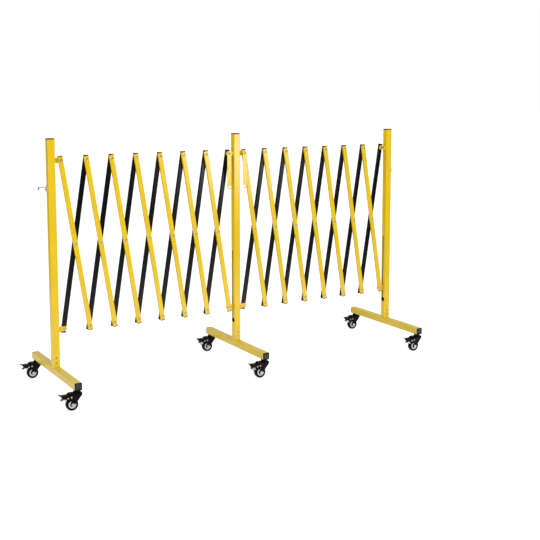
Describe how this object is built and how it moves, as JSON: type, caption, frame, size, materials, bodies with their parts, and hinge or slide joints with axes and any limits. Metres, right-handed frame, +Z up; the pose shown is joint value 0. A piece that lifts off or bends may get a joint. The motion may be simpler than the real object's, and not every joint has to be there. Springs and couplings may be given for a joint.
{
  "type": "expanding barrier fence",
  "caption": "Folding scissor-lattice metal barrier on wheeled stands with foot beams, braked swivel casters, hanging latch bars and end links.",
  "frame": {"origin": "on the floor, at the centre of the resting fence's outline", "axes": "+X along the fence to the right as seen from its front, +Y from front to back along the foot beams, +Z up"},
  "size_m": [1.8008, 0.54, 1.0498],
  "materials": {
    "yellow_powder_coat": "satin",
    "black_powder_coat": "satin",
    "black_moulded_wheel": "matte",
    "zinc_plated_steel": "satin"
  },
  "bodies": {
    "left_stand": {"left_post": "yellow_powder_coat", "left_foot_beam": "yellow_powder_coat", "link_hook": "zinc_plated_steel"},
    "middle_stand": {"middle_post": "yellow_powder_coat", "middle_foot_beam": "yellow_powder_coat"},
    "right_stand": {"right_post": "yellow_powder_coat", "right_foot_beam": "yellow_powder_coat", "link_strap": "yellow_powder_coat"},
    "left_front_slat_1": {"left_front_slat_1": "yellow_powder_coat"},
    "left_rear_slat_1": {"left_rear_slat_1": "black_powder_coat"},
    "left_front_slat_2": {"left_front_slat_2": "yellow_powder_coat"},
    "left_rear_slat_2": {"left_rear_slat_2": "black_powder_coat"},
    "left_front_slat_3": {"left_front_slat_3": "yellow_powder_coat"},
    "left_rear_slat_3": {"left_rear_slat_3": "black_powder_coat"},
    "left_front_slat_4": {"left_front_slat_4": "yellow_powder_coat"},
    "left_rear_slat_4": {"left_rear_slat_4": "black_powder_coat"},
    "left_front_slat_5": {"left_front_slat_5": "yellow_powder_coat"},
    "left_rear_slat_5": {"left_rear_slat_5": "black_powder_coat"},
    "left_front_slat_6": {"left_front_slat_6": "yellow_powder_coat"},
    "left_rear_slat_6": {"left_rear_slat_6": "black_powder_coat"},
    "left_front_slat_7": {"left_front_slat_7": "yellow_powder_coat"},
    "left_rear_slat_7": {"left_rear_slat_7": "black_powder_coat"},
    "left_slider_left": {"left_slider_left": "yellow_powder_coat"},
    "left_slider_right": {"left_slider_right": "yellow_powder_coat"},
    "right_front_slat_1": {"right_front_slat_1": "yellow_powder_coat"},
    "right_rear_slat_1": {"right_rear_slat_1": "black_powder_coat"},
    "right_front_slat_2": {"right_front_slat_2": "yellow_powder_coat"},
    "right_rear_slat_2": {"right_rear_slat_2": "black_powder_coat"},
    "right_front_slat_3": {"right_front_slat_3": "yellow_powder_coat"},
    "right_rear_slat_3": {"right_rear_slat_3": "black_powder_coat"},
    "right_front_slat_4": {"right_front_slat_4": "yellow_powder_coat"},
    "right_rear_slat_4": {"right_rear_slat_4": "black_powder_coat"},
    "right_front_slat_5": {"right_front_slat_5": "yellow_powder_coat"},
    "right_rear_slat_5": {"right_rear_slat_5": "black_powder_coat"},
    "right_front_slat_6": {"right_front_slat_6": "yellow_powder_coat"},
    "right_rear_slat_6": {"right_rear_slat_6": "black_powder_coat"},
    "right_front_slat_7": {"right_front_slat_7": "yellow_powder_coat"},
    "right_rear_slat_7": {"right_rear_slat_7": "black_powder_coat"},
    "right_slider_left": {"right_slider_left": "yellow_powder_coat"},
    "right_slider_right": {"right_slider_right": "yellow_powder_coat"},
    "left_front_fork": {"left_front_fork": "black_powder_coat"},
    "left_front_wheel": {"left_front_wheel": "black_moulded_wheel"},
    "left_front_brake_pedal": {"left_front_brake_pedal": "black_powder_coat"},
    "left_rear_fork": {"left_rear_fork": "black_powder_coat"},
    "left_rear_wheel": {"left_rear_wheel": "black_moulded_wheel"},
    "left_rear_brake_pedal": {"left_rear_brake_pedal": "black_powder_coat"},
    "middle_front_fork": {"middle_front_fork": "black_powder_coat"},
    "middle_front_wheel": {"middle_front_wheel": "black_moulded_wheel"},
    "middle_front_brake_pedal": {"middle_front_brake_pedal": "black_powder_coat"},
    "middle_rear_fork": {"middle_rear_fork": "black_powder_coat"},
    "middle_rear_wheel": {"middle_rear_wheel": "black_moulded_wheel"},
    "middle_rear_brake_pedal": {"middle_rear_brake_pedal": "black_powder_coat"},
    "right_front_fork": {"right_front_fork": "black_powder_coat"},
    "right_front_wheel": {"right_front_wheel": "black_moulded_wheel"},
    "right_front_brake_pedal": {"right_front_brake_pedal": "black_powder_coat"},
    "right_rear_fork": {"right_rear_fork": "black_powder_coat"},
    "right_rear_wheel": {"right_rear_wheel": "black_moulded_wheel"},
    "right_rear_brake_pedal": {"right_rear_brake_pedal": "black_powder_coat"},
    "left_latch_bar": {"left_latch_bar": "yellow_powder_coat"},
    "right_latch_bar": {"right_latch_bar": "yellow_powder_coat"}
  },
  "joints": [
    {"name": "left_lattice_open", "type": "hinge", "parent": "middle_stand", "child": "left_rear_slat_7", "pos_m": [-0.0134, 0, 0.95984], "axis": [0, 1, 0], "range_deg": [-7.28, 39.01]},
    {"name": "left_cross_7", "type": "hinge", "parent": "left_rear_slat_7", "child": "left_front_slat_7", "pos_m": [-0.0684, 0, 0.61217], "axis": [0, 1, 0], "range_deg": [-78.07, 14.61]},
    {"name": "left_top_7", "type": "hinge", "parent": "left_front_slat_7", "child": "left_rear_slat_6", "pos_m": [-0.1234, 0, 0.95984], "axis": [0, 1, 0], "range_deg": [-14.61, 78.07]},
    {"name": "left_cross_6", "type": "hinge", "parent": "left_rear_slat_6", "child": "left_front_slat_6", "pos_m": [-0.1784, 0, 0.61217], "axis": [0, 1, 0], "range_deg": [-78.07, 14.61]},
    {"name": "left_top_6", "type": "hinge", "parent": "left_front_slat_6", "child": "left_rear_slat_5", "pos_m": [-0.2334, 0, 0.95984], "axis": [0, 1, 0], "range_deg": [-14.61, 78.07]},
    {"name": "left_cross_5", "type": "hinge", "parent": "left_rear_slat_5", "child": "left_front_slat_5", "pos_m": [-0.2884, 0, 0.61217], "axis": [0, 1, 0], "range_deg": [-78.07, 14.61]},
    {"name": "left_top_5", "type": "hinge", "parent": "left_front_slat_5", "child": "left_rear_slat_4", "pos_m": [-0.3434, 0, 0.95984], "axis": [0, 1, 0], "range_deg": [-14.61, 78.07]},
    {"name": "left_cross_4", "type": "hinge", "parent": "left_rear_slat_4", "child": "left_front_slat_4", "pos_m": [-0.3984, 0, 0.61217], "axis": [0, 1, 0], "range_deg": [-78.07, 14.61]},
    {"name": "left_top_4", "type": "hinge", "parent": "left_front_slat_4", "child": "left_rear_slat_3", "pos_m": [-0.4534, 0, 0.95984], "axis": [0, 1, 0], "range_deg": [-14.61, 78.07]},
    {"name": "left_cross_3", "type": "hinge", "parent": "left_rear_slat_3", "child": "left_front_slat_3", "pos_m": [-0.5084, 0, 0.61217], "axis": [0, 1, 0], "range_deg": [-78.07, 14.61]},
    {"name": "left_top_3", "type": "hinge", "parent": "left_front_slat_3", "child": "left_rear_slat_2", "pos_m": [-0.5634, 0, 0.95984], "axis": [0, 1, 0], "range_deg": [-14.61, 78.07]},
    {"name": "left_cross_2", "type": "hinge", "parent": "left_rear_slat_2", "child": "left_front_slat_2", "pos_m": [-0.6184, 0, 0.61217], "axis": [0, 1, 0], "range_deg": [-78.07, 14.61]},
    {"name": "left_top_2", "type": "hinge", "parent": "left_front_slat_2", "child": "left_rear_slat_1", "pos_m": [-0.6734, 0, 0.95984], "axis": [0, 1, 0], "range_deg": [-14.61, 78.07]},
    {"name": "left_cross_1", "type": "hinge", "parent": "left_rear_slat_1", "child": "left_front_slat_1", "pos_m": [-0.7284, 0, 0.61217], "axis": [0, 1, 0], "range_deg": [-78.07, 14.61]},
    {"name": "left_stand_upright", "type": "hinge", "parent": "left_front_slat_1", "child": "left_stand", "pos_m": [-0.7834, 0, 0.95984], "axis": [0, 1, 0], "range_deg": [-7.33, 39.06]},
    {"name": "left_slider_right_upright", "type": "hinge", "parent": "left_front_slat_7", "child": "left_slider_right", "pos_m": [-0.0134, 0, 0.26449], "axis": [0, 1, 0], "range_deg": [-7.33, 39.06]},
    {"name": "left_slider_left_upright", "type": "hinge", "parent": "left_rear_slat_1", "child": "left_slider_left", "pos_m": [-0.7834, 0, 0.26449], "axis": [0, 1, 0], "range_deg": [-39.06, 7.33]},
    {"name": "right_lattice_open", "type": "hinge", "parent": "middle_stand", "child": "right_front_slat_1", "pos_m": [0.0666, 0, 0.95984], "axis": [0, -1, 0], "range_deg": [-7.28, 39.01]},
    {"name": "right_cross_1", "type": "hinge", "parent": "right_front_slat_1", "child": "right_rear_slat_1", "pos_m": [0.1216, 0, 0.61217], "axis": [0, -1, 0], "range_deg": [-78.07, 14.61]},
    {"name": "right_top_2", "type": "hinge", "parent": "right_rear_slat_1", "child": "right_front_slat_2", "pos_m": [0.1766, 0, 0.95984], "axis": [0, -1, 0], "range_deg": [-14.61, 78.07]},
    {"name": "right_cross_2", "type": "hinge", "parent": "right_front_slat_2", "child": "right_rear_slat_2", "pos_m": [0.2316, 0, 0.61217], "axis": [0, -1, 0], "range_deg": [-78.07, 14.61]},
    {"name": "right_top_3", "type": "hinge", "parent": "right_rear_slat_2", "child": "right_front_slat_3", "pos_m": [0.2866, 0, 0.95984], "axis": [0, -1, 0], "range_deg": [-14.61, 78.07]},
    {"name": "right_cross_3", "type": "hinge", "parent": "right_front_slat_3", "child": "right_rear_slat_3", "pos_m": [0.3416, 0, 0.61217], "axis": [0, -1, 0], "range_deg": [-78.07, 14.61]},
    {"name": "right_top_4", "type": "hinge", "parent": "right_rear_slat_3", "child": "right_front_slat_4", "pos_m": [0.3966, 0, 0.95984], "axis": [0, -1, 0], "range_deg": [-14.61, 78.07]},
    {"name": "right_cross_4", "type": "hinge", "parent": "right_front_slat_4", "child": "right_rear_slat_4", "pos_m": [0.4516, 0, 0.61217], "axis": [0, -1, 0], "range_deg": [-78.07, 14.61]},
    {"name": "right_top_5", "type": "hinge", "parent": "right_rear_slat_4", "child": "right_front_slat_5", "pos_m": [0.5066, 0, 0.95984], "axis": [0, -1, 0], "range_deg": [-14.61, 78.07]},
    {"name": "right_cross_5", "type": "hinge", "parent": "right_front_slat_5", "child": "right_rear_slat_5", "pos_m": [0.5616, 0, 0.61217], "axis": [0, -1, 0], "range_deg": [-78.07, 14.61]},
    {"name": "right_top_6", "type": "hinge", "parent": "right_rear_slat_5", "child": "right_front_slat_6", "pos_m": [0.6166, 0, 0.95984], "axis": [0, -1, 0], "range_deg": [-14.61, 78.07]},
    {"name": "right_cross_6", "type": "hinge", "parent": "right_front_slat_6", "child": "right_rear_slat_6", "pos_m": [0.6716, 0, 0.61217], "axis": [0, -1, 0], "range_deg": [-78.07, 14.61]},
    {"name": "right_top_7", "type": "hinge", "parent": "right_rear_slat_6", "child": "right_front_slat_7", "pos_m": [0.7266, 0, 0.95984], "axis": [0, -1, 0], "range_deg": [-14.61, 78.07]},
    {"name": "right_cross_7", "type": "hinge", "parent": "right_front_slat_7", "child": "right_rear_slat_7", "pos_m": [0.7816, 0, 0.61217], "axis": [0, -1, 0], "range_deg": [-78.07, 14.61]},
    {"name": "right_stand_upright", "type": "hinge", "parent": "right_rear_slat_7", "child": "right_stand", "pos_m": [0.8366, 0, 0.95984], "axis": [0, -1, 0], "range_deg": [-7.33, 39.06]},
    {"name": "right_slider_left_upright", "type": "hinge", "parent": "right_rear_slat_1", "child": "right_slider_left", "pos_m": [0.0666, 0, 0.26449], "axis": [0, -1, 0], "range_deg": [-7.33, 39.06]},
    {"name": "right_slider_right_upright", "type": "hinge", "parent": "right_front_slat_7", "child": "right_slider_right", "pos_m": [0.8366, 0, 0.26449], "axis": [0, -1, 0], "range_deg": [-39.06, 7.33]},
    {"name": "left_front_swivel", "type": "hinge", "parent": "left_stand", "child": "left_front_fork", "pos_m": [-0.8234, -0.25, 0.06899], "axis": [0, 0, 1], "continuous": true},
    {"name": "left_front_wheel_spin", "type": "hinge", "parent": "left_front_fork", "child": "left_front_wheel", "pos_m": [-0.8454, -0.25, 0.02469], "axis": [0, 1, 0], "continuous": true},
    {"name": "left_front_brake", "type": "hinge", "parent": "left_front_fork", "child": "left_front_brake_pedal", "pos_m": [-0.8644, -0.25, 0.05396], "axis": [0, 1, 0], "range_deg": [-10, 0]},
    {"name": "left_rear_swivel", "type": "hinge", "parent": "left_stand", "child": "left_rear_fork", "pos_m": [-0.8234, 0.25, 0.06899], "axis": [0, 0, 1], "continuous": true},
    {"name": "left_rear_wheel_spin", "type": "hinge", "parent": "left_rear_fork", "child": "left_rear_wheel", "pos_m": [-0.8454, 0.25, 0.02469], "axis": [0, 1, 0], "continuous": true},
    {"name": "left_rear_brake", "type": "hinge", "parent": "left_rear_fork", "child": "left_rear_brake_pedal", "pos_m": [-0.8644, 0.25, 0.05396], "axis": [0, 1, 0], "range_deg": [-10, 0]},
    {"name": "middle_front_swivel", "type": "hinge", "parent": "middle_stand", "child": "middle_front_fork", "pos_m": [0.0266, -0.25, 0.06899], "axis": [0, 0, 1], "continuous": true},
    {"name": "middle_front_wheel_spin", "type": "hinge", "parent": "middle_front_fork", "child": "middle_front_wheel", "pos_m": [0.0046, -0.25, 0.02469], "axis": [0, 1, 0], "continuous": true},
    {"name": "middle_front_brake", "type": "hinge", "parent": "middle_front_fork", "child": "middle_front_brake_pedal", "pos_m": [-0.0144, -0.25, 0.05396], "axis": [0, 1, 0], "range_deg": [-10, 0]},
    {"name": "middle_rear_swivel", "type": "hinge", "parent": "middle_stand", "child": "middle_rear_fork", "pos_m": [0.0266, 0.25, 0.06899], "axis": [0, 0, 1], "continuous": true},
    {"name": "middle_rear_wheel_spin", "type": "hinge", "parent": "middle_rear_fork", "child": "middle_rear_wheel", "pos_m": [0.0046, 0.25, 0.02469], "axis": [0, 1, 0], "continuous": true},
    {"name": "middle_rear_brake", "type": "hinge", "parent": "middle_rear_fork", "child": "middle_rear_brake_pedal", "pos_m": [-0.0144, 0.25, 0.05396], "axis": [0, 1, 0], "range_deg": [-10, 0]},
    {"name": "right_front_swivel", "type": "hinge", "parent": "right_stand", "child": "right_front_fork", "pos_m": [0.8766, -0.25, 0.06899], "axis": [0, 0, 1], "continuous": true},
    {"name": "right_front_wheel_spin", "type": "hinge", "parent": "right_front_fork", "child": "right_front_wheel", "pos_m": [0.8546, -0.25, 0.02469], "axis": [0, 1, 0], "continuous": true},
    {"name": "right_front_brake", "type": "hinge", "parent": "right_front_fork", "child": "right_front_brake_pedal", "pos_m": [0.8356, -0.25, 0.05396], "axis": [0, 1, 0], "range_deg": [-10, 0]},
    {"name": "right_rear_swivel", "type": "hinge", "parent": "right_stand", "child": "right_rear_fork", "pos_m": [0.8766, 0.25, 0.06899], "axis": [0, 0, 1], "continuous": true},
    {"name": "right_rear_wheel_spin", "type": "hinge", "parent": "right_rear_fork", "child": "right_rear_wheel", "pos_m": [0.8546, 0.25, 0.02469], "axis": [0, 1, 0], "continuous": true},
    {"name": "right_rear_brake", "type": "hinge", "parent": "right_rear_fork", "child": "right_rear_brake_pedal", "pos_m": [0.8356, 0.25, 0.05396], "axis": [0, 1, 0], "range_deg": [-10, 0]},
    {"name": "left_latch", "type": "hinge", "parent": "middle_stand", "child": "left_latch_bar", "pos_m": [-0.0134, 0, 0.95984], "axis": [0, 1, 0], "range_deg": [-4.5, 100]},
    {"name": "right_latch", "type": "hinge", "parent": "middle_stand", "child": "right_latch_bar", "pos_m": [0.0666, 0, 0.95984], "axis": [0, -1, 0], "range_deg": [-4.5, 100]}
  ],
  "couplings": [
    {"joint": "left_cross_7", "follows": "left_lattice_open", "ratio": -2},
    {"joint": "left_top_7", "follows": "left_lattice_open", "ratio": 2},
    {"joint": "left_cross_6", "follows": "left_lattice_open", "ratio": -2},
    {"joint": "left_top_6", "follows": "left_lattice_open", "ratio": 2},
    {"joint": "left_cross_5", "follows": "left_lattice_open", "ratio": -2},
    {"joint": "left_top_5", "follows": "left_lattice_open", "ratio": 2},
    {"joint": "left_cross_4", "follows": "left_lattice_open", "ratio": -2},
    {"joint": "left_top_4", "follows": "left_lattice_open", "ratio": 2},
    {"joint": "left_cross_3", "follows": "left_lattice_open", "ratio": -2},
    {"joint": "left_top_3", "follows": "left_lattice_open", "ratio": 2},
    {"joint": "left_cross_2", "follows": "left_lattice_open", "ratio": -2},
    {"joint": "left_top_2", "follows": "left_lattice_open", "ratio": 2},
    {"joint": "left_cross_1", "follows": "left_lattice_open", "ratio": -2},
    {"joint": "left_stand_upright", "follows": "left_lattice_open", "ratio": 1},
    {"joint": "left_slider_right_upright", "follows": "left_lattice_open", "ratio": 1},
    {"joint": "left_slider_left_upright", "follows": "left_lattice_open", "ratio": -1},
    {"joint": "right_cross_1", "follows": "right_lattice_open", "ratio": -2},
    {"joint": "right_top_2", "follows": "right_lattice_open", "ratio": 2},
    {"joint": "right_cross_2", "follows": "right_lattice_open", "ratio": -2},
    {"joint": "right_top_3", "follows": "right_lattice_open", "ratio": 2},
    {"joint": "right_cross_3", "follows": "right_lattice_open", "ratio": -2},
    {"joint": "right_top_4", "follows": "right_lattice_open", "ratio": 2},
    {"joint": "right_cross_4", "follows": "right_lattice_open", "ratio": -2},
    {"joint": "right_top_5", "follows": "right_lattice_open", "ratio": 2},
    {"joint": "right_cross_5", "follows": "right_lattice_open", "ratio": -2},
    {"joint": "right_top_6", "follows": "right_lattice_open", "ratio": 2},
    {"joint": "right_cross_6", "follows": "right_lattice_open", "ratio": -2},
    {"joint": "right_top_7", "follows": "right_lattice_open", "ratio": 2},
    {"joint": "right_cross_7", "follows": "right_lattice_open", "ratio": -2},
    {"joint": "right_stand_upright", "follows": "right_lattice_open", "ratio": 1},
    {"joint": "right_slider_left_upright", "follows": "right_lattice_open", "ratio": 1},
    {"joint": "right_slider_right_upright", "follows": "right_lattice_open", "ratio": -1}
  ]
}
